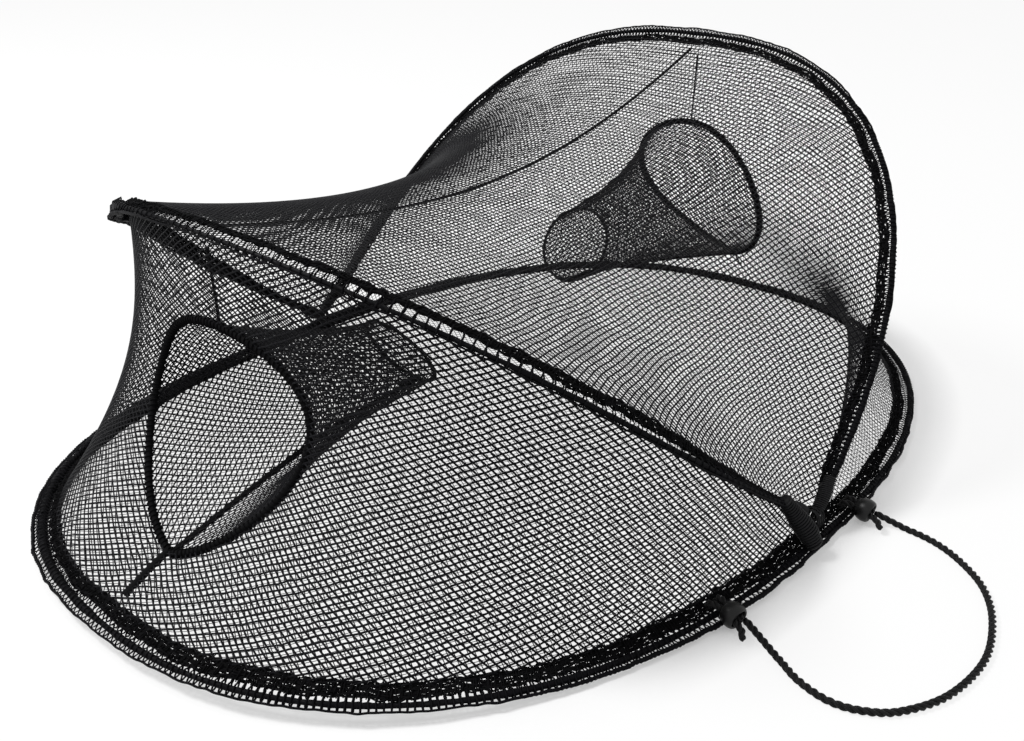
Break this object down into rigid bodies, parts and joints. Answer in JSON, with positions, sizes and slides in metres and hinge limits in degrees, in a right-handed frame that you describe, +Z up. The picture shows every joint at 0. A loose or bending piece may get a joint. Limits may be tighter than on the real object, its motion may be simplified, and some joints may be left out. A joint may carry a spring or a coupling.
{
  "type": "crayfish trap",
  "caption": "Folding crayfish trap: oval base hoop and hinged wire arches under black netting, with a funnel mouth at each end and a side carrying rope.",
  "frame": {"origin": "centre of the base hoop, on the floor that it lies on", "axes": "+X from the front funnel to the rear funnel, +Y along the arches' hinge line away from the carrying rope, +Z up"},
  "size_m": [0.6092, 0.5372, 0.2244],
  "materials": {
    "wire": "black coated spring steel wire",
    "hem": "folded black net cloth, matt",
    "band": "dense black stitching, matt",
    "net": "black knotless netting, slightly glossy filament",
    "cord": "black lashing thread",
    "rope": "black laid rope, soft sheen",
    "rubber": "black rubber, satin"
  },
  "bodies": {
    "base": {"base_hoop_wire": "wire", "base_hem": "hem", "base_hem_band": "band", "near_hinge_tie": "cord", "far_hinge_tie": "cord", "floor_net": "net", "top_net": "net", "top_seam": "band", "front_wall_net": "net", "front_mouth_cord": "band", "front_lower_seam": "band", "front_upper_seam": "band", "front_funnel_net": "net", "front_throat_ring": "wire", "front_funnel_seam": "band", "rear_wall_net": "net", "rear_mouth_cord": "band", "rear_lower_seam": "band", "rear_upper_seam": "band", "rear_funnel_net": "net", "rear_throat_ring": "wire", "rear_funnel_seam": "band", "front_cord_stop": "rubber", "rear_cord_stop": "rubber", "front_cord_loop": "rope", "rear_cord_loop": "rope", "handle_rope": "rope"},
    "front_arch": {"front_arch_wire": "wire", "front_arch_hem": "hem", "front_arch_hem_band": "band"},
    "rear_arch": {"rear_arch_wire": "wire", "rear_arch_hem": "hem", "rear_arch_hem_band": "band"}
  },
  "joints": [
    {"name": "front_arch_fold", "type": "hinge", "parent": "base", "child": "front_arch", "pos_m": [0, 0, 0.0123], "axis": [0, -1, 0], "range_deg": [0, 35], "deforming": ["front_wall_net", "front_lower_seam", "front_upper_seam", "top_net", "top_seam"]},
    {"name": "rear_arch_fold", "type": "hinge", "parent": "base", "child": "rear_arch", "pos_m": [0, 0, 0.0123], "axis": [0, 1, 0], "range_deg": [0, 45.8], "deforming": ["rear_wall_net", "rear_lower_seam", "rear_upper_seam", "top_net", "top_seam"]}
  ]
}
